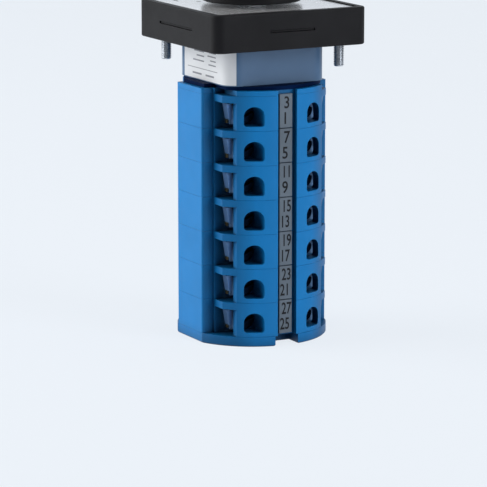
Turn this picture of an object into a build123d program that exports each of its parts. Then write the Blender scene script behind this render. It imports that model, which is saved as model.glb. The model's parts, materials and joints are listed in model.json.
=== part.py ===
from build123d import *
import os
from math import cos, radians, sin

# Panel-mounted rotary cam switch with three positions and seven contact stages.
# Millimetres. The origin is the centre of the bezel's rear face, which seats on the
# panel, and +Z points out of the panel towards the knob.

os.makedirs("parts", exist_ok=True)

# General clearances
fit_gap = 0.05          # radial running clearance of a shaft in its bore
slide_gap = 0.3         # between parts that move past each other
seat_gap = 0.1          # between parts that are only put together
edge_round = 0.5        # broken edges of the mouldings
near = 0.01             # tolerance when faces and edges are picked by their place
cut_over = 1.0          # how far a cut runs past the face that it opens

# Bezel, base and dial
bezel_side = 48.0
bezel_height = 10.5
bezel_corner = 3.0
bezel_wall = 2.2
latch_front = 14.0       # latch windows on the numbered sides
latch_side = 20.0        # latch windows on the flat sides
latch_height = 0.7
latch_recess = 0.3
base_floor = 3.0
base_rail = 1.6
base_rail_length = 22.0
base_boss_wall = 3.4
dial_thick = 0.8
dial_drop = 0.3
dial_bore = 5.6

# Panel screws
panel_spacing = 36.0
panel_screw_radius = 1.5
panel_screw_reach = 6.5
panel_screw_neck = 1.4     # plain neck inside the base
pan_head_radius = 2.75
pan_head_height = 1.9
slot_width = 0.8
slot_depth = 0.8
slot_turn = 25.0
head_crown = 0.35       # rounding of a pan head, as a share of its height
screw_tip_edge = 0.3

# Knob
knob_radius = 14.3
knob_disc_height = 4.6
knob_height = 20.0
knob_lift = 1.1
knob_grip_width = 9.6
knob_grip_draft = 3.0
knob_web = 2.0
knob_socket = 11.0
knob_cap_radius = 2.7
knob_screw_head = 2.4
knob_cap_height = 1.2
knob_cap_edge = 0.3
knob_line_width = 1.3
knob_line_length = 7.5
knob_line_depth = 0.4
knob_line_inset = 1.0    # from the end of the grip's top

# Spindle and journals
spindle_side = 6.0
spindle_edge = 0.3
journal_radius = 5.0
tail_journal_radius = 2.9
tail_journal_length = 1.6

# Detent
detent_side = 31.6
detent_height = 10.65
detent_corner = 4.5
detent_roof = 2.0
detent_wall = 2.0
detent_wheel_radius = 8.2
detent_positions = 8
notch_radius = 2.0
notch_offset = 0.9
detent_axial_gap = 0.4
plunger_nose = 1.5
plunger_width = 6.0
plunger_length = 3.6
plunger_bore = 1.8
plunger_bore_depth = 2.2
detent_spring_turns = 5
label_thick = 0.15
label_margin = 0.3       # bare strip of the housing above and below the label
label_wrap = 2.65        # reach of the label round the corner, from the -X side
label_back = 10.5        # where the label ends on the -X side
spacer_thick = 1.05
spacer_inset = 1.5
cover_thick = 1.46

# Stages
stage_count = 7
stage_pitch = 9.75
stage_roof = 2.0
body_radius = 21.3
flat_half = 19.9
block_half = 7.8
groove_half = 16.5
stage_edge = 0.06
block_corner = 0.8

# Tie screws
tie_offset = 11.8
tie_radius = 1.5
tie_bore = 1.7
tie_head_radius = 2.75
tie_head_height = 1.6
nut_flats = 5.5
nut_height = 2.4
base_screw_offset = 10.0
base_screw_radius = 1.3
base_screw_reach = 7.0
base_screw_head = 2.4

# Cams and contact gear
cam_base = 6.9
cam_travel = 1.0        # follower travel from the middle to an end position
cam_throw = 45.0        # turn from the middle to an end position, degrees
cam_ramp = 57.0         # half of each ramp, degrees
cam_ramp_steps = 8
cam_hub_radius = 5.5
cam_lobe_top = 2.8
cam_lobe_height = 5.8
cam_pocket_gap = 0.4
follower_nose = 1.5
follower_half = 2.8
follower_reach = 10.6
follower_stem = 1.2
follower_stem_end = 15.2
gear_top = 3.0
gear_height = 5.4
bridge_half = 7.4
bridge_thick = 0.8
bridge_height = 4.0
button_radius = 1.2
button_thick = 0.6
button_offset = 6.0
contact_gap = 1.1       # open gap of each break in the middle position
arm_thick = 0.8
rib_outer = 4.6
bridge_bay_outer = 14.6
spring_bay_outer = 18.3
spring_bay_half = 6.3
spring_radius = 1.75
spring_wire = 0.4
contact_spring_turns = 6

# Terminals
terminal_x = 9.3
chamber_inner_x = 6.6
chamber_outer_x = 13.55
chamber_inner_y = 8.8
chamber_outer_y = 14.4
terminal_plate = 1.2
terminal_plate_end = 13.2
wire_space = 1.4
clamp_thick = 0.9
clamp_plate_end = 13.4
clamp_ear = 1.7
clamp_ear_end = 15.4
clamp_ear_top = 13.9
clamp_ear_level = 2.3
clamp_ear_height = 4.45
terminal_screw_radius = 1.75
terminal_head_radius = 2.35
terminal_head_height = 1.9
driver_hole_width = 5.2
driver_hole_height = 5.5
driver_hole_top = 2.95
driver_hole_corner = 0.8

# Number tags and rear cap
tag_width = 4.0
tag_thick = 1.0
tag_face = 20.2
tag_groove_width = 5.9
tag_gap = 0.25
tag_rise = 0.4          # height of the tags' joints above the stages' tops
cap_height = 2.8
cap_notch_half = 3.6
cap_notch_depth = 6.0
cap_bore_depth = 1.65
cap_edge = 0.3

# Levels and sizes that follow
base_side = bezel_side - 2 * bezel_wall - 2 * seat_gap
dial_top = bezel_height - dial_drop
dial_floor = dial_top - dial_thick
knob_floor = dial_top + knob_lift
knob_top = knob_floor + knob_height
spindle_top = knob_floor + knob_socket
spacer_top = -detent_height
cover_top = spacer_top - spacer_thick
stages_top = cover_top - cover_thick
stages_floor = stages_top - stage_count * stage_pitch
cap_floor = stages_floor - cap_height
panel_half = panel_spacing / 2
cam_slope = cam_travel / radians(cam_throw)
cam_max = cam_base + cam_slope * radians(cam_ramp)
cam_pocket = cam_max + cam_pocket_gap
follower_tip = cam_base + slide_gap
cavity_radius = detent_wheel_radius + slide_gap + seat_gap
plunger_tip = detent_wheel_radius + slide_gap
detent_bay = detent_side / 2 - detent_wall
bridge_inner = follower_reach
button_face = bridge_inner - button_thick
fixed_face = button_face - contact_gap
arm_outer = fixed_face - button_thick
arm_inner = arm_outer - arm_thick
plate_outer_y = chamber_inner_y + terminal_plate
clamp_inner_y = plate_outer_y + wire_space
clamp_outer_y = clamp_inner_y + clamp_thick
terminal_head_y = clamp_outer_y + terminal_head_height
tag_floor = tag_face - tag_thick
gear_middle = gear_top + gear_height / 2
four_corners = [(1, 1), (1, -1), (-1, 1), (-1, -1)]


def write(part, name):
    """Label a finished piece and write its STEP file."""
    part.label = name
    export_step(part, f"parts/{name}.step")


def stage_level(number):
    """Height of the top of a stage, counted from 1 at the panel end."""
    return stages_top - (number - 1) * stage_pitch


def body_outline():
    """Outline of the stage column: a circle with side flats and four corner grooves."""
    with BuildSketch() as outline:
        Circle(body_radius)
        Rectangle(2 * groove_half, 2 * body_radius, mode=Mode.INTERSECT)
        Rectangle(2 * flat_half, 2 * block_half)
        sides = outline.vertices().group_by(Axis.X)
        fillet(sides[0] + sides[-1], block_corner)
    return outline.sketch


def tag_grooves():
    """Plan of the two grooves that hold the number tags."""
    with BuildSketch() as grooves:
        with Locations((0, tag_floor + body_radius / 2), (0, -tag_floor - body_radius / 2)):
            Rectangle(tag_groove_width, body_radius)
    return grooves.sketch


def square_outline(side, corner):
    with BuildSketch() as outline:
        RectangleRounded(side, side, corner)
    return outline.sketch


def hexagon(flats):
    with BuildSketch() as outline:
        RegularPolygon(flats / 2, 6, major_radius=False, rotation=30)
    return outline.sketch


def slotted_pan_screw(seat, tip, shank, head, height, places):
    """Pan-head screws along Z: the head stands on the seat level, the shank ends at tip."""
    up = 1 if seat > tip else -1
    with BuildPart() as screws:
        with BuildSketch(Plane.XY.offset(tip)):
            with Locations(*places):
                Circle(shank)
        extrude(amount=seat - tip)
        with BuildSketch(Plane.XY.offset(seat)):
            with Locations(*places):
                Circle(head)
        extrude(amount=up * height)
        top = seat + up * height
        rims = screws.edges().filter_by(GeomType.CIRCLE)
        fillet(rims.filter_by_position(Axis.Z, top - near, top + near), height * head_crown)
        with BuildSketch(Plane.XY.offset(top)):
            with Locations(*places):
                Rectangle(2 * head + cut_over, slot_width, rotation=slot_turn)
        extrude(amount=-up * slot_depth, mode=Mode.SUBTRACT)
        rims = screws.edges().filter_by(GeomType.CIRCLE)
        chamfer(rims.filter_by_position(Axis.Z, tip - near, tip + near), screw_tip_edge)
    return screws.part


# ---------------------------------------------------------------- panel front

def make_bezel():
    """Square frame round the dial, with a latch window in the middle of each side."""
    with BuildPart() as bezel:
        with BuildSketch():
            add(square_outline(bezel_side, bezel_corner))
        extrude(amount=bezel_height)
        fillet(bezel.faces().sort_by(Axis.Z)[-1].edges(), edge_round)
        chamfer(bezel.faces().sort_by(Axis.Z)[0].edges(), edge_round / 2)
        with BuildSketch():
            add(square_outline(bezel_side - 2 * bezel_wall, bezel_corner - bezel_wall))
        extrude(amount=bezel_height, mode=Mode.SUBTRACT)
        for plane, length in ((Plane.XZ, latch_front), (Plane.YZ, latch_side)):
            with BuildSketch(plane):
                with Locations((0, bezel_height / 2)):
                    Rectangle(length, latch_height)
            extrude(amount=bezel_side, both=True, mode=Mode.SUBTRACT)
    write(bezel.part, "bezel")


def make_bezel_base():
    """Plate inside the bezel: side rails with latch hooks carry the dial and hold the frame."""
    rail_height = dial_floor - base_floor
    hook_reach = bezel_side / 2 - latch_recess
    rail_centre = base_side / 2 - base_rail / 2
    with BuildPart() as base:
        with BuildSketch():
            add(square_outline(base_side, bezel_corner - bezel_wall))
        extrude(amount=base_floor)
        with BuildSketch(Plane.XY.offset(base_floor)):
            Circle(dial_bore + base_boss_wall)
            with Locations((0, rail_centre), (0, -rail_centre)):
                Rectangle(base_rail_length, base_rail)
            with Locations((rail_centre, 0), (-rail_centre, 0)):
                Rectangle(base_rail, base_rail_length)
        extrude(amount=rail_height)
        with BuildSketch(Plane.XY.offset(bezel_height / 2)):
            with Locations((0, rail_centre), (0, -rail_centre)):
                Rectangle(latch_front - slide_gap, 2 * (hook_reach - rail_centre))
            with Locations((rail_centre, 0), (-rail_centre, 0)):
                Rectangle(2 * (hook_reach - rail_centre), latch_side - slide_gap)
            Rectangle(base_side - 2 * base_rail, base_side - 2 * base_rail, mode=Mode.SUBTRACT)
        extrude(amount=latch_height / 2 - seat_gap, both=True)
        with BuildSketch():
            Circle(dial_bore)
            with Locations((-panel_half, panel_half), (panel_half, -panel_half)):
                Circle(panel_screw_radius + seat_gap)
            with Locations((base_screw_offset, base_screw_offset), (-base_screw_offset, -base_screw_offset)):
                Circle(base_screw_radius + seat_gap)
        extrude(amount=dial_floor, mode=Mode.SUBTRACT)
    write(base.part, "bezel_base")


def make_dial_plate():
    """Thin metal plate inside the bezel's rim, with the spindle's hole."""
    with BuildPart() as dial:
        with BuildSketch(Plane.XY.offset(dial_floor)):
            add(square_outline(base_side, bezel_corner - bezel_wall))
            Circle(dial_bore, mode=Mode.SUBTRACT)
        extrude(amount=dial_thick)
    write(dial.part, "dial_plate")


def make_knob():
    """Round skirt with a tapered bar across it, a square socket below and a screw well above."""
    with BuildPart() as knob:
        with BuildSketch(Plane.XY.offset(knob_floor)):
            Circle(knob_radius)
        extrude(amount=knob_disc_height)
        fillet(knob.faces().sort_by(Axis.Z)[-1].edges(), 2 * edge_round)
        chamfer(knob.faces().sort_by(Axis.Z)[0].edges(), edge_round)
        with BuildSketch(Plane.XY.offset(knob_floor + knob_disc_height / 2)):
            Circle(knob_radius - 2 * edge_round)
            Rectangle(knob_grip_width, 2 * knob_radius, mode=Mode.INTERSECT)
        extrude(amount=knob_height - knob_disc_height / 2, taper=knob_grip_draft)
        fillet(knob.faces().sort_by(Axis.Z)[-1].edges(), 2 * edge_round)
        with BuildSketch(Plane.XY.offset(knob_floor)):
            Rectangle(spindle_side + 2 * fit_gap, spindle_side + 2 * fit_gap)
        extrude(amount=knob_socket + seat_gap, mode=Mode.SUBTRACT)
        with BuildSketch(Plane.XY.offset(spindle_top)):
            Circle(tie_bore)
        extrude(amount=knob_height, mode=Mode.SUBTRACT)
        with BuildSketch(Plane.XY.offset(spindle_top + knob_web)):
            Circle(knob_cap_radius)
        extrude(amount=knob_height, mode=Mode.SUBTRACT)
        with BuildSketch(Plane.XY.offset(knob_top)):
            with Locations((0, knob_radius - 2 * edge_round - knob_line_inset - knob_line_length / 2)):
                Rectangle(knob_line_width, knob_line_length)
        extrude(amount=-knob_line_depth, mode=Mode.SUBTRACT)
    write(knob.part, "knob")


def make_knob_cap():
    """Plug that closes the screw well in the knob."""
    with BuildPart() as cap:
        with BuildSketch(Plane.XY.offset(knob_top - knob_cap_height - seat_gap)):
            Circle(knob_cap_radius - fit_gap)
        extrude(amount=knob_cap_height)
        fillet(cap.faces().sort_by(Axis.Z)[-1].edges(), knob_cap_edge)
    write(cap.part, "knob_cap")


def make_knob_screw():
    seat = spindle_top + knob_web
    tip = spindle_top - knob_socket / 2
    screw = slotted_pan_screw(seat, tip, tie_radius, knob_screw_head, pan_head_height, [(0, 0)])
    write(screw, "knob_screw")


def make_panel_screws():
    """Screws that pass through the base with a neck and reach behind the panel seat."""
    places = [(-panel_half, panel_half), (panel_half, -panel_half)]
    with BuildPart() as screws:
        add(slotted_pan_screw(
            base_floor, -panel_screw_reach, panel_screw_radius, pan_head_radius, pan_head_height, places
        ))
        with BuildSketch():
            with Locations(*places):
                Circle(panel_screw_radius + seat_gap)
                Circle(panel_screw_neck, mode=Mode.SUBTRACT)
        extrude(amount=base_floor, mode=Mode.SUBTRACT)
    write(screws.part, "panel_screws")


def make_base_screws():
    places = [(base_screw_offset, base_screw_offset), (-base_screw_offset, -base_screw_offset)]
    screws = slotted_pan_screw(
        base_floor, -base_screw_reach, base_screw_radius, base_screw_head, pan_head_height, places
    )
    write(screws, "base_screws")


# ---------------------------------------------------------------- detent

def make_detent_housing():
    """Square housing behind the panel, open to the rear, with a bay for each detent plunger."""
    with BuildPart() as housing:
        with BuildSketch():
            add(square_outline(detent_side, detent_corner))
        extrude(amount=-detent_height)
        with BuildSketch(Plane.XY.offset(-detent_height)):
            Circle(cavity_radius)
            Rectangle(2 * detent_bay, plunger_width + 2 * slide_gap)
        extrude(amount=detent_height - detent_roof, mode=Mode.SUBTRACT)
        with BuildSketch():
            Circle(journal_radius + fit_gap)
            with Locations((0, tie_offset), (0, -tie_offset)):
                Circle(tie_bore)
        extrude(amount=-detent_height, mode=Mode.SUBTRACT)
        with BuildSketch():
            with Locations((base_screw_offset, base_screw_offset), (-base_screw_offset, -base_screw_offset)):
                Circle(base_screw_radius + fit_gap)
        extrude(amount=-base_screw_reach - seat_gap, mode=Mode.SUBTRACT)
        with BuildSketch():
            with Locations((0, tie_offset), (0, -tie_offset)):
                add(hexagon(nut_flats + 2 * fit_gap))
        extrude(amount=-nut_height - seat_gap, mode=Mode.SUBTRACT)
    write(housing.part, "detent_housing")


def make_rating_label():
    """Blank sticker over the -X side, carried round the corner on to the -Y side."""
    half = detent_side / 2
    with BuildPart() as label:
        with BuildSketch(Plane.XY.offset(-label_margin)):
            add(square_outline(detent_side + 2 * label_thick, detent_corner + label_thick))
            add(square_outline(detent_side, detent_corner), mode=Mode.SUBTRACT)
            with Locations((label_wrap - 1.5 * half, label_back - 1.5 * half)):
                Rectangle(half, 3 * half, mode=Mode.INTERSECT)
        extrude(amount=2 * label_margin - detent_height)
    write(label.part, "rating_label")


def make_spacer_plate():
    """Thin set-back plate between the detent and the front cover."""
    with BuildPart() as spacer:
        with BuildSketch(Plane.XY.offset(cover_top)):
            add(body_outline())
            offset(amount=-spacer_inset, kind=Kind.INTERSECTION)
            Circle(journal_radius + slide_gap, mode=Mode.SUBTRACT)
            with Locations((0, tie_offset), (0, -tie_offset)):
                Circle(tie_bore, mode=Mode.SUBTRACT)
        extrude(amount=spacer_thick)
    write(spacer.part, "spacer_plate")


def make_front_cover():
    """Plate that closes the stage column at the front, cut back at the terminals' corners."""
    corner = body_radius - chamber_outer_x
    with BuildPart() as cover:
        with BuildSketch(Plane.XY.offset(stages_top)):
            add(body_outline())
            add(tag_grooves(), mode=Mode.SUBTRACT)
            for side, end in four_corners:
                middle_x = chamber_outer_x + corner / 2
                with Locations((side * middle_x, end * (chamber_inner_y + body_radius / 2))):
                    Rectangle(corner, body_radius, mode=Mode.SUBTRACT)
            Circle(journal_radius + slide_gap, mode=Mode.SUBTRACT)
            with Locations((0, tie_offset), (0, -tie_offset)):
                Circle(tie_bore, mode=Mode.SUBTRACT)
        extrude(amount=cover_thick)
        chamfer(cover.faces().sort_by(Axis.Z)[-1].outer_wire().edges(), stage_edge)
    write(cover.part, "front_cover")


def make_detent_wheel():
    """Wheel with a notch for every eighth of a turn and a journal on each face."""
    wheel_floor = spacer_top + detent_axial_gap
    wheel_height = detent_height - detent_roof - 2 * detent_axial_gap
    with BuildPart() as wheel:
        with BuildSketch(Plane.XY.offset(wheel_floor)):
            Circle(detent_wheel_radius)
            with PolarLocations(detent_wheel_radius + notch_offset, detent_positions):
                Circle(notch_radius, mode=Mode.SUBTRACT)
        extrude(amount=wheel_height)
        with BuildSketch(Plane.XY.offset(stages_top)):
            Circle(journal_radius)
        extrude(amount=base_floor - stages_top)
        with BuildSketch(Plane.XY.offset(stages_top)):
            Rectangle(spindle_side + 2 * fit_gap, spindle_side + 2 * fit_gap)
        extrude(amount=base_floor - stages_top, mode=Mode.SUBTRACT)
    write(wheel.part, "detent_wheel")


def make_detent_plunger(side, name):
    """Sliding nose that rides on the wheel, hollow behind for its spring."""
    floor = spacer_top + slide_gap
    height = detent_height - detent_roof - 2 * slide_gap
    nose = side * (plunger_tip + plunger_nose)
    back = side * (plunger_tip + plunger_length)
    with BuildPart() as plunger:
        with BuildSketch(Plane.XY.offset(floor)):
            with Locations((nose, 0)):
                Circle(plunger_nose)
            with Locations(((nose + back) / 2, 0)):
                Rectangle(abs(back - nose), 2 * plunger_nose)
            with Locations((back - side * plunger_bore_depth / 2, 0)):
                Rectangle(plunger_bore_depth, plunger_width)
        extrude(amount=height)
        with BuildSketch(Plane.YZ.offset(back)):
            with Locations((0, floor + height / 2)):
                Circle(plunger_bore)
        extrude(amount=-side * plunger_bore_depth, mode=Mode.SUBTRACT)
    write(plunger.part, name)


def coil(start, length, radius, turns, centre_z):
    """Compression spring along X, from start over a signed length."""
    direction = 1 if length > 0 else -1
    reach = abs(length) - 2 * spring_wire
    origin = (start + direction * spring_wire, 0, centre_z)
    path = Helix(pitch=reach / turns, height=reach, radius=radius, center=origin, direction=(direction, 0, 0))
    with BuildPart() as spring:
        with BuildSketch(Plane(path @ 0, z_dir=path % 0)):
            Circle(spring_wire / 2)
        sweep(path=path, is_frenet=True)
    return spring.part


def make_detent_spring(side, name):
    seat = side * (plunger_tip + plunger_length - plunger_bore_depth)
    length = side * detent_bay - seat
    centre = spacer_top + (detent_height - detent_roof) / 2
    spring = coil(seat, length, plunger_bore - spring_wire, detent_spring_turns, centre)
    write(spring, name)


# ---------------------------------------------------------------- rotor

def make_shaft():
    """Square spindle from the knob to the rear cap, tapped at the front, turned at the tail."""
    square_floor = stages_floor + slide_gap
    tail = square_floor - tail_journal_length
    with BuildPart() as shaft:
        with BuildSketch(Plane.XY.offset(square_floor)):
            Rectangle(spindle_side, spindle_side)
        extrude(amount=spindle_top - square_floor)
        chamfer(shaft.edges().filter_by(Axis.Z), spindle_edge)
        with BuildSketch(Plane.XY.offset(tail)):
            Circle(tail_journal_radius)
        extrude(amount=tail_journal_length)
        with BuildSketch(Plane.XY.offset(spindle_top)):
            Circle(tie_radius + fit_gap)
        extrude(amount=-knob_socket / 2 - seat_gap, mode=Mode.SUBTRACT)
    write(shaft.part, "shaft")


def ramp_point(angle):
    """Point on the cam: the right ramp falls and the left ramp rises with the angle."""
    turn = (angle + 180) % 360 - 180
    if abs(turn) <= cam_ramp:
        radius = cam_base - cam_slope * radians(turn)
    else:
        left = (angle % 360) - 180
        radius = cam_base + cam_slope * radians(left)
    return (radius * cos(radians(angle)), radius * sin(radians(angle)))


def ramp_edge(start):
    """One spiral ramp, as a spline through points of the Archimedean curve."""
    step = 2 * cam_ramp / cam_ramp_steps
    return Spline(*[ramp_point(start + number * step) for number in range(cam_ramp_steps + 1)])


def make_cam(number):
    """Cam with a linear ramp on each side, on a hub that stacks on the next cam."""
    top = stage_level(number)
    hub_height = stage_pitch if number < stage_count else stage_pitch - slide_gap
    low = (0, cam_base - cam_slope * radians(cam_ramp))
    high = (0, -cam_max)
    with BuildPart() as cam:
        with BuildSketch(Plane.XY.offset(top - cam_lobe_top)):
            with BuildLine():
                ramp_edge(-cam_ramp)
                ThreePointArc(ramp_point(cam_ramp), low, ramp_point(180 - cam_ramp))
                ramp_edge(180 - cam_ramp)
                ThreePointArc(ramp_point(180 + cam_ramp), high, ramp_point(-cam_ramp))
            make_face()
        extrude(amount=-cam_lobe_height)
        with BuildSketch(Plane.XY.offset(top)):
            Circle(cam_hub_radius)
        extrude(amount=-hub_height)
        with BuildSketch(Plane.XY.offset(top)):
            Rectangle(spindle_side + 2 * fit_gap, spindle_side + 2 * fit_gap)
        extrude(amount=-hub_height, mode=Mode.SUBTRACT)
    write(cam.part, f"cam_{number}")


# ---------------------------------------------------------------- stage mouldings

def inner_bays():
    """Plan of the space inside a stage: cam pocket, guides, contact bays and spring bays."""
    contact_bay_inner = arm_inner - seat_gap
    spring_bay_inner = follower_reach - cam_travel - slide_gap
    with BuildSketch() as bays:
        Circle(cam_pocket)
        for side in (1, -1):
            with Locations((side * spring_bay_outer / 2, 0)):
                Rectangle(spring_bay_outer, 2 * (follower_half + slide_gap))
            with Locations((side * (spring_bay_inner + spring_bay_outer) / 2, 0)):
                Rectangle(spring_bay_outer - spring_bay_inner, 2 * spring_bay_half)
            for end in (1, -1):
                middle_x = (contact_bay_inner + bridge_bay_outer) / 2
                with Locations((side * middle_x, end * (rib_outer + block_half) / 2)):
                    Rectangle(bridge_bay_outer - contact_bay_inner, block_half - rib_outer)
    return bays.sketch


def arm_slots():
    """Plan of the narrow ways that the four fixed contacts take from terminal to bay."""
    with BuildSketch() as slots:
        for side, end in four_corners:
            with Locations((side * (arm_outer - arm_thick / 2), end * (block_half + chamber_inner_y) / 2)):
                Rectangle(arm_thick + 2 * seat_gap, chamber_inner_y - block_half + cut_over)
    return slots.sketch


def terminal_chambers():
    """Plan of the four terminal chambers, open at the corner grooves for the wires."""
    middle_x = (chamber_inner_x + chamber_outer_x) / 2
    middle_y = (chamber_inner_y + chamber_outer_y) / 2
    corner_x = (chamber_outer_x + body_radius) / 2
    corner_y = (chamber_inner_y + body_radius) / 2
    with BuildSketch() as chambers:
        for side, end in four_corners:
            with Locations((side * middle_x, end * middle_y)):
                Rectangle(chamber_outer_x - chamber_inner_x, chamber_outer_y - chamber_inner_y)
            with Locations((side * corner_x, end * corner_y)):
                Rectangle(body_radius - chamber_outer_x, body_radius - chamber_inner_y)
    return chambers.sketch


def make_stage_housing(number):
    """One stage moulding: a roof over walls that the next stage closes from below."""
    top = stage_level(number)
    floor = top - stage_pitch
    hole_middle = top - driver_hole_top - driver_hole_height / 2
    with BuildPart() as housing:
        with BuildSketch(Plane.XY.offset(top)):
            add(body_outline())
            add(tag_grooves(), mode=Mode.SUBTRACT)
        extrude(amount=-stage_pitch)
        chamfer(housing.faces().sort_by(Axis.Z)[-1].edges(), stage_edge)
        chamfer(housing.faces().sort_by(Axis.Z)[0].edges(), stage_edge)
        with BuildSketch(Plane.XY.offset(floor)):
            add(inner_bays())
            add(arm_slots())
            add(terminal_chambers())
        extrude(amount=stage_pitch - stage_roof, mode=Mode.SUBTRACT)
        with BuildSketch(Plane.XY.offset(top)):
            Circle(cam_hub_radius + slide_gap)
            with Locations((0, tie_offset), (0, -tie_offset)):
                Circle(tie_bore)
        extrude(amount=-stage_pitch, mode=Mode.SUBTRACT)
        for end in (1, -1):
            with BuildSketch(Plane.XZ.offset(-end * (chamber_outer_y - seat_gap))) as holes:
                with Locations((terminal_x, hole_middle), (-terminal_x, hole_middle)):
                    Rectangle(driver_hole_width, driver_hole_height)
                fillet(holes.vertices().group_by(Axis.Y)[-1], driver_hole_width / 2 - near)
                fillet(holes.vertices().group_by(Axis.Y)[0], driver_hole_corner)
            extrude(amount=-end * body_radius, mode=Mode.SUBTRACT)
    write(housing.part, f"stage_housing_{number}")


def make_end_cap():
    """Rear cover with the tail bearing, the tie-screw seats and a notch under each tag strip."""
    with BuildPart() as cap:
        with BuildSketch(Plane.XY.offset(cap_floor)):
            Circle(body_radius)
            Rectangle(2 * flat_half, 2 * body_radius, mode=Mode.INTERSECT)
            with Locations((0, body_radius), (0, -body_radius)):
                Rectangle(2 * cap_notch_half, 2 * cap_notch_depth, mode=Mode.SUBTRACT)
        extrude(amount=cap_height)
        chamfer(cap.faces().sort_by(Axis.Z)[-1].edges(), stage_edge)
        chamfer(cap.faces().sort_by(Axis.Z)[0].edges(), cap_edge)
        with BuildSketch(Plane.XY.offset(stages_floor)):
            Circle(tail_journal_radius + fit_gap)
        extrude(amount=-cap_bore_depth, mode=Mode.SUBTRACT)
        with BuildSketch(Plane.XY.offset(cap_floor)):
            with Locations((0, tie_offset), (0, -tie_offset)):
                Circle(tie_bore)
        extrude(amount=cap_height, mode=Mode.SUBTRACT)
        with BuildSketch(Plane.XY.offset(cap_floor)):
            with Locations((0, tie_offset), (0, -tie_offset)):
                Circle(tie_head_radius + 2 * seat_gap)
        extrude(amount=tie_head_height + slide_gap, mode=Mode.SUBTRACT)
    write(cap.part, "end_cap")


def make_number_tags(end, name):
    """One numbered tag a stage, laid in the groove down the front or the back."""
    with BuildPart() as tags:
        for number in range(1, stage_count + 1):
            with BuildSketch(Plane.XY.offset(stage_level(number) + tag_rise - tag_gap / 2)):
                with Locations((0, end * (tag_floor + tag_thick / 2))):
                    Rectangle(tag_width, tag_thick)
            extrude(amount=tag_gap - stage_pitch)
        outer = tags.faces().filter_by_position(Axis.Y, end * tag_face - near, end * tag_face + near)
        chamfer(outer.edges(), stage_edge)
    write(tags.part, name)


# ---------------------------------------------------------------- tie screws and nuts

def make_tie_screws():
    seat = cap_floor + tie_head_height + slide_gap
    places = [(0, tie_offset), (0, -tie_offset)]
    screws = slotted_pan_screw(seat, -seat_gap, tie_radius, tie_head_radius, tie_head_height, places)
    write(screws, "tie_screws")


def make_tie_nuts():
    with BuildPart() as nuts:
        with BuildSketch(Plane.XY.offset(-seat_gap)):
            with Locations((0, tie_offset), (0, -tie_offset)):
                add(hexagon(nut_flats))
                Circle(tie_radius + fit_gap, mode=Mode.SUBTRACT)
        extrude(amount=-nut_height)
    write(nuts.part, "tie_nuts")


# ---------------------------------------------------------------- contact gear

def make_fixed_contacts(number):
    """Four bent strips: a terminal plate outside and an arm with a contact button inside."""
    top = stage_level(number) - gear_top
    arm_end = button_offset - button_radius
    plate_start = chamber_inner_x + seat_gap
    plate_middle = (chamber_inner_y + plate_outer_y) / 2
    button_z = top - gear_height / 2
    with BuildPart() as contacts:
        with BuildSketch(Plane.XY.offset(top)):
            for side, end in four_corners:
                with Locations((side * (plate_start + terminal_plate_end) / 2, end * plate_middle)):
                    Rectangle(terminal_plate_end - plate_start, terminal_plate)
                with Locations((side * (arm_inner + arm_outer) / 2, end * (arm_end + plate_outer_y) / 2)):
                    Rectangle(arm_thick, plate_outer_y - arm_end)
        extrude(amount=-gear_height)
        for side in (1, -1):
            with BuildSketch(Plane.YZ.offset(side * arm_outer)):
                with Locations((button_offset, button_z), (-button_offset, button_z)):
                    Circle(button_radius)
            extrude(amount=side * button_thick)
        for end in (1, -1):
            with BuildSketch(Plane.XZ.offset(-end * chamber_inner_y)):
                with Locations((terminal_x, button_z), (-terminal_x, button_z)):
                    Circle(terminal_screw_radius + fit_gap)
            extrude(amount=-end * terminal_plate, mode=Mode.SUBTRACT)
    write(contacts.part, f"fixed_contacts_{number}")


def make_terminal_clamps():
    """Clamp plates over the wires, each with an ear turned up at its outer end."""
    inner_end = chamber_inner_x + seat_gap
    ear_start = clamp_plate_end - seat_gap
    plate_middle = (clamp_inner_y + clamp_outer_y) / 2
    ear_middle = (clamp_inner_y + clamp_ear_top) / 2
    with BuildPart() as clamps:
        for number in range(1, stage_count + 1):
            top = stage_level(number)
            with BuildSketch(Plane.XY.offset(top - gear_top)):
                for side, end in four_corners:
                    with Locations((side * (inner_end + clamp_plate_end) / 2, end * plate_middle)):
                        Rectangle(clamp_plate_end - inner_end, clamp_thick)
            extrude(amount=-gear_height)
            with BuildSketch(Plane.XY.offset(top - clamp_ear_level)):
                for side, end in four_corners:
                    with Locations((side * (ear_start + clamp_ear_end) / 2, end * plate_middle)):
                        Rectangle(clamp_ear_end - ear_start, clamp_thick)
                    with Locations((side * (clamp_ear_end - clamp_ear / 2), end * ear_middle)):
                        Rectangle(clamp_ear, clamp_ear_top - clamp_inner_y)
            extrude(amount=-clamp_ear_height)
            with BuildSketch(Plane.XZ):
                with Locations((terminal_x, top - gear_middle), (-terminal_x, top - gear_middle)):
                    Circle(terminal_screw_radius + 2 * seat_gap)
            extrude(amount=body_radius, both=True, mode=Mode.SUBTRACT)
    write(clamps.part, "terminal_clamps")


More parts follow.
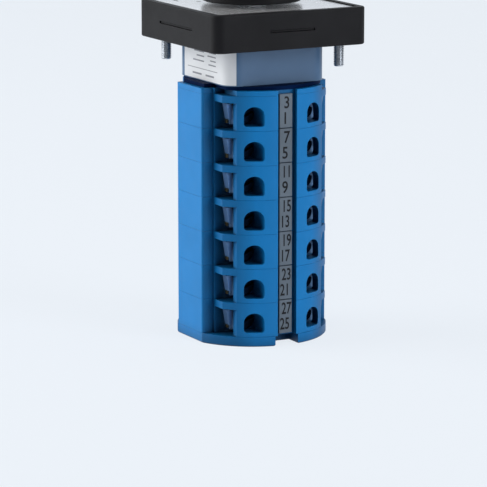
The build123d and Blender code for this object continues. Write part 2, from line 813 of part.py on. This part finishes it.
def make_terminal_screws():
    """One screw to each terminal, its slotted head at the bottom of the driver hole."""
    with BuildPart() as screws:
        for end in (1, -1):
            head_plane = Plane.XZ.offset(-end * clamp_outer_y)
            tip_plane = Plane.XZ.offset(-end * (chamber_inner_y + seat_gap))
            top_plane = Plane.XZ.offset(-end * terminal_head_y)
            places = [
                (side * terminal_x, stage_level(number) - gear_middle)
                for number in range(1, stage_count + 1)
                for side in (1, -1)
            ]
            with BuildSketch(tip_plane):
                with Locations(*places):
                    Circle(terminal_screw_radius)
            extrude(amount=-end * (clamp_outer_y - chamber_inner_y - seat_gap))
            with BuildSketch(head_plane):
                with Locations(*places):
                    Circle(terminal_head_radius)
            extrude(amount=-end * terminal_head_height)
            with BuildSketch(top_plane):
                with Locations(*places):
                    Rectangle(2 * terminal_head_radius + cut_over, slot_width, rotation=slot_turn)
            extrude(amount=end * slot_depth, mode=Mode.SUBTRACT)
    write(screws.part, "terminal_screws")


def make_contact_plungers(side, name):
    """Followers on one side, one a stage: a nose on the cam, a block and a stem for the bridge."""
    nose = side * (follower_tip + follower_nose)
    shoulder = side * (follower_reach - follower_nose)
    with BuildPart() as plungers:
        for number in range(1, stage_count + 1):
            top = stage_level(number) - gear_top
            with BuildSketch(Plane.XY.offset(top)):
                with Locations((nose, 0)):
                    Circle(follower_nose)
                with Locations(((nose + side * follower_reach) / 2, 0)):
                    Rectangle(abs(side * follower_reach - nose), 2 * follower_nose)
                with Locations(((shoulder + side * follower_reach) / 2, 0)):
                    Rectangle(follower_nose, 2 * follower_half)
            extrude(amount=-gear_height)
            with BuildSketch(Plane.YZ.offset(side * follower_reach)):
                with Locations((0, top - gear_height / 2)):
                    Circle(follower_stem)
            extrude(amount=side * (follower_stem_end - follower_reach))
    write(plungers.part, name)


def make_contact_bridges(side, name):
    """Moving contacts on one side: a strip on each plunger's stem, with a button at each end."""
    with BuildPart() as bridges:
        for number in range(1, stage_count + 1):
            middle = stage_level(number) - gear_middle
            with BuildSketch(Plane.YZ.offset(side * bridge_inner)):
                with Locations((0, middle)):
                    Rectangle(2 * bridge_half, bridge_height)
                    Circle(follower_stem + fit_gap, mode=Mode.SUBTRACT)
            extrude(amount=side * bridge_thick)
            with BuildSketch(Plane.YZ.offset(side * bridge_inner)):
                with Locations((button_offset, middle), (-button_offset, middle)):
                    Circle(button_radius)
            extrude(amount=-side * button_thick)
    write(bridges.part, name)


def make_contact_springs(side, name):
    """Springs that press the bridges on one side towards the fixed contacts."""
    start = side * (bridge_inner + bridge_thick)
    length = side * spring_bay_outer - start
    with BuildPart() as springs:
        for number in range(1, stage_count + 1):
            middle = stage_level(number) - gear_middle
            add(coil(start, length, spring_radius, contact_spring_turns, middle))
    write(springs.part, name)


make_bezel()
make_bezel_base()
make_dial_plate()
make_knob()
make_knob_cap()
make_knob_screw()
make_panel_screws()
make_base_screws()
make_detent_housing()
make_rating_label()
make_spacer_plate()
make_front_cover()
make_detent_wheel()
make_shaft()
make_end_cap()
make_tie_screws()
make_tie_nuts()
make_number_tags(-1, "number_tags_front")
make_number_tags(1, "number_tags_back")
make_terminal_clamps()
make_terminal_screws()
for stage in range(1, stage_count + 1):
    make_stage_housing(stage)
    make_cam(stage)
    make_fixed_contacts(stage)
for side, hand in ((1, "right"), (-1, "left")):
    make_detent_plunger(side, f"detent_plunger_{hand}")
    make_detent_spring(side, f"detent_spring_{hand}")
    make_contact_plungers(side, f"contact_plungers_{hand}")
    make_contact_bridges(side, f"contact_bridges_{hand}")
    make_contact_springs(side, f"contact_springs_{hand}")
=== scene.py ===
import bmesh
import bpy
import json
import math
from mathutils import Matrix, Vector


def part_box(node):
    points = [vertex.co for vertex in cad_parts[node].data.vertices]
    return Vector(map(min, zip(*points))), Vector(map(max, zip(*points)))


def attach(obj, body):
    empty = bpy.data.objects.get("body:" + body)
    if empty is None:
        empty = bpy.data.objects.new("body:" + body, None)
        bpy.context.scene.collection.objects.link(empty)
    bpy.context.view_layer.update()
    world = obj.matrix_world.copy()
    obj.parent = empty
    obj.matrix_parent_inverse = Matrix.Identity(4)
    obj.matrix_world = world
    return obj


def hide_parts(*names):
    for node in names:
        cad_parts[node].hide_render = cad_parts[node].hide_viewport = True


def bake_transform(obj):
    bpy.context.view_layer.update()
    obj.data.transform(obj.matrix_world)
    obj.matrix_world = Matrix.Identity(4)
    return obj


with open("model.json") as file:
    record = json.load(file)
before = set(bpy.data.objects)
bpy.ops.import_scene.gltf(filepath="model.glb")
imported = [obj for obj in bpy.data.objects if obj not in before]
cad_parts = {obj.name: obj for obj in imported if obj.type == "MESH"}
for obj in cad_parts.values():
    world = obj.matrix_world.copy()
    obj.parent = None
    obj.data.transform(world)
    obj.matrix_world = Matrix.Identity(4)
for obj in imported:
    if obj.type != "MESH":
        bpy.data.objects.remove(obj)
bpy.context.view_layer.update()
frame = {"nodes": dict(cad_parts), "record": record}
nodes = frame["nodes"]

MM = 0.001

VIEW_AZIMUTH = math.radians(-28.0)    # of the camera, with the backdrop square to it
PAN_HEAD_RADIUS = 2.75 * MM

# Where things are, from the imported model
dial_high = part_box("dial_plate")[1]
knob_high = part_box("knob")[1]
label_low, label_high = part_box("rating_label")
front_tags_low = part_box("number_tags_front")[0]
back_tags_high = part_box("number_tags_back")[1]
screws_low, screws_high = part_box("panel_screws")
stage_boxes = [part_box(f"stage_housing_{n}") for n in range(1, 8)]
floor_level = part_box("end_cap")[0][2]


# ------------------------------------------------------------------ materials

def new_material(name):
    """An empty node material, with its nodes and links."""
    material = bpy.data.materials.new(name)
    material.use_nodes = True
    material.node_tree.nodes.clear()
    return material, material.node_tree.nodes, material.node_tree.links


def noise(nodes_, links, coords, scale, detail=3.0):
    """Noise over the surface, from 0 to 1."""
    texture = nodes_.new("ShaderNodeTexNoise")
    texture.inputs["Scale"].default_value = scale
    texture.inputs["Detail"].default_value = detail
    links.new(coords, texture.inputs["Vector"])
    return texture.outputs["Fac"]


def ramp(nodes_, links, source, low, high, start=0.35, end=0.65):
    """Maps a 0 to 1 value to a pair of colours."""
    node = nodes_.new("ShaderNodeValToRGB")
    node.color_ramp.elements[0].position = start
    node.color_ramp.elements[0].color = (*low, 1.0)
    node.color_ramp.elements[1].position = end
    node.color_ramp.elements[1].color = (*high, 1.0)
    links.new(source, node.inputs["Fac"])
    return node.outputs["Color"]


def remap(nodes_, links, source, from_low, from_high, to_low, to_high):
    """Maps one range of a value to another, and keeps to its ends."""
    node = nodes_.new("ShaderNodeMapRange")
    node.inputs["From Min"].default_value = from_low
    node.inputs["From Max"].default_value = from_high
    node.inputs["To Min"].default_value = to_low
    node.inputs["To Max"].default_value = to_high
    links.new(source, node.inputs["Value"])
    return node.outputs["Result"]


def math_node(nodes_, links, operation, *sources):
    """One sum, product or the like of one or more values."""
    node = nodes_.new("ShaderNodeMath")
    node.operation = operation
    for slot, source in zip(node.inputs, sources):
        links.new(source, slot)
    return node.outputs["Value"]


def cavity_shade(nodes_, links, depth, reach):
    """Painted shade: the share of the colour that is left, less in grooves and recesses within the reach.
    """
    hollow = nodes_.new("ShaderNodeAmbientOcclusion")
    hollow.samples = 8
    hollow.inputs["Distance"].default_value = reach * MM
    closed, open_ = 0.25, 0.85
    return remap(nodes_, links, hollow.outputs["AO"], closed, open_, 1.0 - depth, 1.0)


def corner_shade(nodes_, links, coords, depth):
    """Painted shade: the share of the colour that is left, less towards the four corner grooves of the
    column.
    """
    parts = nodes_.new("ShaderNodeSeparateXYZ")
    links.new(coords, parts.inputs["Vector"])
    across = math_node(nodes_, links, "ABSOLUTE", parts.outputs["X"])
    along = math_node(nodes_, links, "ABSOLUTE", parts.outputs["Y"])
    face_start, face_end = 9.0 * MM, 13.5 * MM
    block_start, block_end = 7.1 * MM, 7.6 * MM
    near_side = remap(nodes_, links, across, face_start, face_end, 0.0, 1.0)
    past_block = remap(nodes_, links, along, block_start, block_end, 0.0, 1.0)
    both = math_node(nodes_, links, "MULTIPLY", near_side, past_block)
    return remap(nodes_, links, both, 0.0, 1.0, 1.0, 1.0 - depth)


def scaled_colour(nodes_, links, colour, share):
    """The colour times a value."""
    scale = nodes_.new("ShaderNodeVectorMath")
    scale.operation = "SCALE"
    links.new(colour, scale.inputs[0])
    links.new(share, scale.inputs["Scale"])
    return scale.outputs["Vector"]


def surface(name, colour, variation, roughness, grain, grain_size, metallic=0.0, specular=0.5,
            edge=0.15, mottling=0.012, cavity=0.0, cavity_reach=6.0, corner=0.0):
    """A moulded, painted or metal surface: mottled colour, uneven gloss, fine grain, softened edges, and
    where asked painted shade that darkens the colour in recesses and towards the corner grooves.
    """
    material, nodes_, links = new_material(name)
    coords = nodes_.new("ShaderNodeTexCoord").outputs["Object"]
    shader = nodes_.new("ShaderNodeBsdfPrincipled")
    shader.inputs["Metallic"].default_value = metallic
    shader.inputs["Specular IOR Level"].default_value = specular
    patches = noise(nodes_, links, coords, 1.0 / mottling, 3.0)
    low = tuple(max(0.0, c * (1.0 - variation)) for c in colour)
    high = tuple(min(1.0, c * (1.0 + variation)) for c in colour)
    tint = ramp(nodes_, links, patches, low, high)
    # Painted shade: the colour darkened in recesses and towards the column's corner grooves.
    if cavity:
        tint = scaled_colour(nodes_, links, tint, cavity_shade(nodes_, links, cavity, cavity_reach))
    if corner:
        tint = scaled_colour(nodes_, links, tint, corner_shade(nodes_, links, coords, corner))
    links.new(tint, shader.inputs["Base Color"])
    gloss = noise(nodes_, links, coords, 2.3 / mottling, 4.0)
    uneven = remap(nodes_, links, gloss, 0.0, 1.0, roughness * 0.8, roughness * 1.2)
    links.new(uneven, shader.inputs["Roughness"])
    fine = noise(nodes_, links, coords, 1.0 / (grain_size * MM), 2.0)
    bump = nodes_.new("ShaderNodeBump")
    bump.inputs["Strength"].default_value = grain
    bump.inputs["Distance"].default_value = 0.05 * MM
    links.new(fine, bump.inputs["Height"])
    if edge:
        bevel = nodes_.new("ShaderNodeBevel")
        bevel.samples = 4
        bevel.inputs["Radius"].default_value = edge * MM
        links.new(bevel.outputs["Normal"], bump.inputs["Normal"])
    links.new(bump.outputs["Normal"], shader.inputs["Normal"])
    output = nodes_.new("ShaderNodeOutputMaterial")
    links.new(shader.outputs["BSDF"], output.inputs["Surface"])
    return material


black_plastic = surface("black_plastic", (0.0150, 0.0150, 0.0168), 0.12, 0.46, 0.35, 0.25, specular=0.08,
                        edge=0.25)
# The blue is darkened in recesses and towards the corner grooves of the column as painted shade.
blue_plastic = surface("blue_plastic", (0.003, 0.204, 0.54), 0.04, 0.42, 0.12, 0.30, specular=0.22,
                       edge=0.18, cavity=0.7, cavity_reach=7.0, corner=0.36)
slate_plastic = surface("slate_plastic", (0.070, 0.145, 0.265), 0.06, 0.36, 0.12, 0.30, specular=0.35,
                        edge=0.2)
# Painted shade: the thin spacer under the detent housing is near-black navy, the tone of shadow on the blue
# plastic in the gap there.
dark_plastic = surface("dark_plastic", (0.0004, 0.010, 0.050), 0.15, 0.6, 0.2, 0.3, specular=0.03)
tag_plastic = surface("tag_plastic", (0.125, 0.160, 0.200), 0.10, 0.42, 0.2, 0.3, specular=0.3, edge=0.12)
nylon = surface("nylon", (0.78, 0.75, 0.66), 0.05, 0.45, 0.15, 0.4)
label_film = surface("label_film", (0.71, 0.725, 0.75), 0.03, 0.32, 0.08, 0.5, specular=0.4, edge=0.0)
dial_metal = surface("dial_metal", (0.86, 0.87, 0.89), 0.02, 0.26, 0.06, 0.08, metallic=0.7, edge=0.1)
zinc_steel = surface("zinc_steel", (0.50, 0.53, 0.57), 0.10, 0.32, 0.3, 0.08, metallic=1.0, edge=0.1)
# Painted shade: the terminal screws in the driver holes are near-black blue and darker still in recesses,
# standing in for the shadow in the holes; the real heads are bright plated steel.
dark_steel = surface("dark_steel", (0.02, 0.05, 0.12), 0.15, 0.45, 0.3, 0.08, metallic=1.0, edge=0.1,
                     cavity=0.9, cavity_reach=5.0)
clamp_steel = surface("clamp_steel", (0.095, 0.185, 0.340), 0.12, 0.42, 0.2, 0.1, metallic=0.8, edge=0.1)
spring_steel = surface("spring_steel", (0.42, 0.43, 0.45), 0.08, 0.28, 0.2, 0.05, metallic=1.0, edge=0.0)
contact_brass = surface("contact_brass", (0.75, 0.56, 0.28), 0.08, 0.30, 0.25, 0.10, metallic=1.0,
                        edge=0.08)
print_ink = surface("print_ink", (0.006, 0.007, 0.010), 0.2, 0.5, 0.1, 0.2, specular=0.2, edge=0.0)
rule_ink = surface("rule_ink", (0.20, 0.21, 0.24), 0.1, 0.5, 0.1, 0.2, edge=0.0)
line_paint = surface("line_paint", (0.80, 0.80, 0.79), 0.04, 0.45, 0.2, 0.2, edge=0.05)

finishes = {
    "black_plastic": black_plastic, "dial_metal": dial_metal, "slate_plastic": slate_plastic,
    "label_film": label_film, "dark_plastic": dark_plastic, "blue_plastic": blue_plastic,
    "tag_plastic": tag_plastic, "nylon": nylon, "zinc_steel": zinc_steel,
    "dark_steel": dark_steel, "spring_steel": spring_steel, "contact_brass": contact_brass,
}
for part in frame["record"]["subparts"]:
    mesh = nodes[part["node"]].data
    mesh.materials.clear()
    mesh.materials.append(finishes[part["material_slot"]])


# ------------------------------------------------------------------ helpers

def loose_piece(name, mesh, material):
    """A finished mesh as a piece that has no body yet."""
    piece = bpy.data.objects.new(name, mesh)
    bpy.context.scene.collection.objects.link(piece)
    mesh.materials.clear()
    mesh.materials.append(material)
    return piece


def as_piece(name, mesh, material, body):
    """A finished mesh as a piece that rides on a body."""
    piece = loose_piece(name, mesh, material)
    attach(piece, body)
    return piece


def text_mesh(words, size, thickness, placement, boldness=0.0):
    """The words as a flat extruded mesh, centred on the placement's origin."""
    curve = bpy.data.curves.new("words", "FONT")
    curve.body = words
    curve.size = size
    curve.extrude = thickness / 2
    curve.offset = boldness
    curve.align_x = "CENTER"
    curve.align_y = "CENTER"
    curve.resolution_u = 4
    holder = bpy.data.objects.new("words", curve)
    bpy.context.scene.collection.objects.link(holder)
    bpy.context.view_layer.update()
    mesh = bpy.data.meshes.new_from_object(holder)
    bpy.data.objects.remove(holder)
    bpy.data.curves.remove(curve)
    mesh.transform(placement)
    return mesh


def box_mesh(low, high):
    """A closed box between two corners."""
    bm = bmesh.new()
    bmesh.ops.create_cube(bm, size=1.0)
    size = Vector(high) - Vector(low)
    centre = (Vector(high) + Vector(low)) / 2
    bmesh.ops.scale(bm, vec=size, verts=bm.verts)
    bmesh.ops.translate(bm, vec=centre, verts=bm.verts)
    mesh = bpy.data.meshes.new("box")
    bm.to_mesh(mesh)
    bm.free()
    return mesh


def joined(name, meshes):
    """Several meshes as one."""
    bm = bmesh.new()
    for mesh in meshes:
        bm.from_mesh(mesh)
    whole = bpy.data.meshes.new(name)
    bm.to_mesh(whole)
    bm.free()
    for mesh in meshes:
        bpy.data.meshes.remove(mesh)
    return whole


# ------------------------------------------------------------------ printing

def tag_numbers(end, name):
    """Terminal numbers on one strip of tags: the right terminal above, the left one below."""
    print_thickness = 0.04 * MM
    size = 4.7 * MM
    boldness = 0.07 * MM
    upper_drop = 2.3 * MM
    lower_drop = 6.7 * MM
    side_step = 0.25 * MM
    one_digit_width = 0.85
    two_digit_width = 0.66
    if end < 0:
        face, turn, right, left = front_tags_low[1], 0.0, -1, -3
    else:
        face, turn, right, left = back_tags_high[1], math.pi, -2, 0
    meshes = []
    for index, (low, high) in enumerate(stage_boxes):
        last = 4 * (index + 1)
        rows = ((last + right, upper_drop, side_step), (last + left, lower_drop, -side_step))
        for number, drop, step in rows:
            words = str(number)
            place = Matrix.Translation((-end * step, face, high[2] - drop))
            upright = Matrix.Rotation(turn, 4, "Z") @ Matrix.Rotation(math.pi / 2, 4, "X")
            width = two_digit_width if len(words) > 1 else one_digit_width
            narrow = Matrix.Diagonal((width, 1.0, 1.0, 1.0))
            meshes.append(text_mesh(words, size, print_thickness, place @ upright @ narrow, boldness))
    as_piece(name, joined(name, meshes), print_ink, "switch_body")


def dial_marks():
    """Position numbers 1, 0 and 2 on the dial, and a tick towards each."""
    print_thickness = 0.03 * MM
    size = 5.0 * MM
    number_radius = {"1": 22.5 * MM, "0": 18.9 * MM, "2": 22.5 * MM}
    tick_inner = 15.1 * MM
    tick_outer = 16.4 * MM
    tick_width = 0.7 * MM
    top = dial_high[2]
    meshes = []
    for words, angle in (("1", 135), ("0", 90), ("2", 45)):
        outward = Vector((math.cos(math.radians(angle)), math.sin(math.radians(angle)), 0))
        place = Matrix.Translation(outward * number_radius[words] + Vector((0, 0, top)))
        meshes.append(text_mesh(words, size, print_thickness, place))
        tick = box_mesh((tick_inner, -tick_width / 2, 0), (tick_outer, tick_width / 2, print_thickness / 2))
        tick.transform(Matrix.Translation((0, 0, top)) @ Matrix.Rotation(math.radians(angle), 4, "Z"))
        meshes.append(tick)
    as_piece("dial_marks", joined("dial_marks", meshes), print_ink, "switch_body")


def label_rules():
    """Plain grey rules on the label, where a maker's table would stand."""
    film = 0.02 * MM
    face = label_low[0]
    top = label_high[2]
    rows = (
        (1.6, -8.6, -4.6, 0.5), (2.8, -8.6, -3.6, 0.35), (4.0, -8.6, -5.2, 0.35), (5.2, -8.6, -4.2, 0.35),
        (1.6, -1.5, 4.5, 0.7), (3.2, -1.5, 3.0, 0.4), (4.6, -1.5, 5.2, 0.4), (6.9, -9.5, 8.5, 0.2),
        (8.3, -7.5, -2.4, 0.5), (8.3, 0.0, 5.5, 0.5),
    )
    meshes = []
    for drop, start, end, height in rows:
        level = top - drop * MM
        low = (face - film, start * MM, level - height * MM)
        meshes.append(box_mesh(low, (face + film, end * MM, level)))
    as_piece("label_rules", joined("label_rules", meshes), rule_ink, "switch_body")


def knob_line():
    """White paint in the groove at the pointing end of the knob."""
    width = 1.3 * MM
    length = 7.5 * MM
    outer = knob_high[1] - 2.0 * MM
    groove_floor = knob_high[2] - 0.4 * MM
    paint_top = knob_high[2] - 0.05 * MM
    mesh = box_mesh((-width / 2, outer - length, groove_floor), (width / 2, outer, paint_top))
    as_piece("knob_line", mesh, line_paint, "rotor")


# ------------------------------------------------------------------ screw threads

def threaded_rod(radius, depth, pitch, low, high, place):
    """A rod with a helical thread, tapered at its lower end, closed at both ends."""
    around = 36
    rise = pitch / 10
    rings = max(2, round((high - low) / rise))
    taper = 0.4 * MM
    taper_slope = 0.8
    bm = bmesh.new()
    grid = []
    for ring in range(rings + 1):
        level = low + (high - low) * ring / rings
        limit = radius - max(0.0, taper - (level - low)) * taper_slope
        row = []
        for step in range(around):
            turn = step / around
            phase = (level / pitch - turn) % 1.0
            depth_here = depth * (1.0 - abs(2.0 * phase - 1.0))
            reach = min(radius - depth_here, limit)
            angle = 2.0 * math.pi * turn
            x = place[0] + reach * math.cos(angle)
            y = place[1] + reach * math.sin(angle)
            row.append(bm.verts.new((x, y, level)))
        grid.append(row)
    for lower, upper in zip(grid, grid[1:]):
        for step in range(around):
            after = (step + 1) % around
            bm.faces.new((lower[step], lower[after], upper[after], upper[step]))
    bm.faces.new(list(reversed(grid[0])))
    bm.faces.new(grid[-1])
    mesh = bpy.data.meshes.new("rod")
    bm.to_mesh(mesh)
    bm.free()
    return mesh


def panel_screw_threads():
    """The panel screws again, with the thread that the plain solids leave out."""
    pitch = 0.5 * MM
    depth = 0.27 * MM
    radius = 1.5 * MM
    start = -0.05 * MM
    upper = nodes["panel_screws"].data.copy()
    bm = bmesh.new()
    bm.from_mesh(upper)
    everything = bm.verts[:] + bm.edges[:] + bm.faces[:]
    level = (0, 0, start)
    cut = bmesh.ops.bisect_plane(bm, geom=everything, plane_co=level, plane_no=(0, 0, 1), clear_inner=True)
    rims = [e for e in cut["geom_cut"] if isinstance(e, bmesh.types.BMEdge)]
    bmesh.ops.holes_fill(bm, edges=rims)
    bm.to_mesh(upper)
    bm.free()
    centre = screws_high[0] - PAN_HEAD_RADIUS
    rods = [
        threaded_rod(radius, depth, pitch, screws_low[2], start, (sign * centre, -sign * centre))
        for sign in (1, -1)
    ]
    whole = joined("panel_screws_threaded", [upper] + rods)
    piece = as_piece("panel_screws_threaded", whole, zinc_steel, "switch_body")
    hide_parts("panel_screws")


# ------------------------------------------------------------------ springs

def flexing_spring(node):
    """The spring again, as a loose piece with no body, between the housing and what it presses on."""
    piece = loose_piece(f"{node}_flexing", nodes[node].data.copy(), spring_steel)
    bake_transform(piece)
    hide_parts(node)


# ------------------------------------------------------------------ clamps

def slanted_clamps():
    """The clamps again, with the ear that shows at each corner groove cut to a slant."""
    ear_root = 13.75 * MM
    foot = 0.85 * MM
    mesh = nodes["terminal_clamps"].data.copy()
    for stage_low, stage_high in stage_boxes:
        middle = (stage_low[2] + stage_high[2]) / 2
        for vertex in mesh.vertices:
            if abs(vertex.co.x) > ear_root and stage_low[2] < vertex.co.z < middle:
                vertex.co.x = math.copysign(ear_root + foot, vertex.co.x)
    piece = as_piece("terminal_clamps_slanted", mesh, clamp_steel, "switch_body")
    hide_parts("terminal_clamps")


# ------------------------------------------------------------------ camera, floor and light

def direction(azimuth, elevation):
    """Unit vector from the object towards a camera or lamp, both angles in radians."""
    level = math.cos(elevation)
    return Vector((math.sin(azimuth) * level, -math.cos(azimuth) * level, math.sin(elevation)))


def add_camera():
    """Long lens from the front left, a little above, as a product shot."""
    elevation = math.radians(11.3)
    distance = 0.870
    aim = Vector((-2.07 * MM, 1.10 * MM, -58.8 * MM))
    outward = direction(VIEW_AZIMUTH, elevation)
    data = bpy.data.cameras.new("camera")
    data.sensor_width = 36.0
    data.lens = 224.7
    data.clip_end = 10.0
    camera = bpy.data.objects.new("camera", data)
    camera.location = aim + outward * distance
    camera.rotation_euler = (-outward).to_track_quat("-Z", "Y").to_euler()
    bpy.context.scene.collection.objects.link(camera)
    bpy.context.scene.camera = camera


def stage_material(name, colour, seen):
    """Matt paper that shows mostly as its own pale colour, with faint shadows."""
    material, nodes_, links = new_material(name)
    coords = nodes_.new("ShaderNodeTexCoord").outputs["Object"]
    paper = nodes_.new("ShaderNodeBsdfPrincipled")
    patches = noise(nodes_, links, coords, 3.0)
    low = tuple(c * 0.985 for c in colour)
    links.new(ramp(nodes_, links, patches, low, colour), paper.inputs["Base Color"])
    paper.inputs["Roughness"].default_value = 0.8
    paper.inputs["Specular IOR Level"].default_value = 0.1
    glow = nodes_.new("ShaderNodeEmission")
    glow.inputs["Color"].default_value = (*colour, 1.0)
    path = nodes_.new("ShaderNodeLightPath")
    looked_at = path.outputs["Is Camera Ray"]
    for kind in ("Is Glossy Ray", "Is Transmission Ray"):
        looked_at = math_node(nodes_, links, "MAXIMUM", looked_at, path.outputs[kind])
    share = remap(nodes_, links, looked_at, 0.0, 1.0, 0.0, seen)
    mix = nodes_.new("ShaderNodeMixShader")
    links.new(share, mix.inputs["Fac"])
    links.new(paper.outputs["BSDF"], mix.inputs[1])
    links.new(glow.outputs["Emission"], mix.inputs[2])
    output = nodes_.new("ShaderNodeOutputMaterial")
    links.new(mix.outputs["Shader"], output.inputs["Surface"])
    return material


def add_floor():
    """Floor that curves up into a backdrop behind the object."""
    half_width = 2.5
    front = -2.0
    back = 1.6
    height = 2.2
    bend = 0.5
    steps = 16
    outline = [(front, 0.0), (back - bend, 0.0)]
    for step in range(1, steps + 1):
        angle = math.pi / 2 * step / steps
        outline.append((back - bend + bend * math.sin(angle), bend - bend * math.cos(angle)))
    outline.append((back, height))
    turn = Matrix.Rotation(VIEW_AZIMUTH, 4, "Z")
    bm = bmesh.new()
    rows = []
    for along, up in outline:
        row = [bm.verts.new(turn @ Vector((x, along, up + floor_level))) for x in (-half_width, half_width)]
        rows.append(row)
    for one, two in zip(rows, rows[1:]):
        bm.faces.new((one[0], one[1], two[1], two[0]))
    mesh = bpy.data.meshes.new("floor")
    bm.to_mesh(mesh)
    bm.free()
    for polygon in mesh.polygons:
        polygon.use_smooth = True
    floor = bpy.data.objects.new("floor", mesh)
    mesh.materials.append(stage_material("floor_paper", (0.86, 0.91, 0.97), 0.88))
    bpy.context.scene.collection.objects.link(floor)


def add_lamp(name, azimuth, elevation, distance, size, watts, colour, aim=(0, 0, -0.04)):
    """Soft rectangular lamp aimed at the object. Azimuth and elevation are as for views."""
    outward = direction(math.radians(azimuth), math.radians(elevation))
    data = bpy.data.lights.new(name, "AREA")
    data.shape = "RECTANGLE"
    data.size = size[0]
    data.size_y = size[1]
    data.energy = watts
    data.color = colour
    lamp = bpy.data.objects.new(name, data)
    lamp.location = Vector(aim) + outward * distance
    lamp.rotation_euler = (-outward).to_track_quat("-Z", "Y").to_euler()
    bpy.context.scene.collection.objects.link(lamp)


def add_world(colour, strength):
    """An even, faint light from all round."""
    world = bpy.data.worlds.new("world")
    world.use_nodes = True
    background = world.node_tree.nodes["Background"]
    background.inputs["Color"].default_value = (*colour, 1.0)
    background.inputs["Strength"].default_value = strength
    bpy.context.scene.world = world


tag_numbers(-1, "tag_numbers_front")
tag_numbers(1, "tag_numbers_back")
dial_marks()
label_rules()
knob_line()
panel_screw_threads()
slanted_clamps()
for hand, side in (("left", -1), ("right", 1)):
    flexing_spring(f"contact_springs_{hand}")
    flexing_spring(f"detent_spring_{hand}")

add_camera()
add_floor()
add_lamp("key", -122, 22, 1.1, (0.9, 0.9), 13.0, (1.0, 0.99, 0.97))
add_lamp("fill", 27, 20, 1.3, (0.6, 0.8), 9.0, (0.98, 0.985, 1.0))
add_lamp("top", 60, 78, 1.2, (0.8, 0.8), 3.0, (1.0, 1.0, 1.0))
add_world((0.86, 0.92, 1.0), 0.08)
bpy.context.scene.view_settings.view_transform = "Standard"
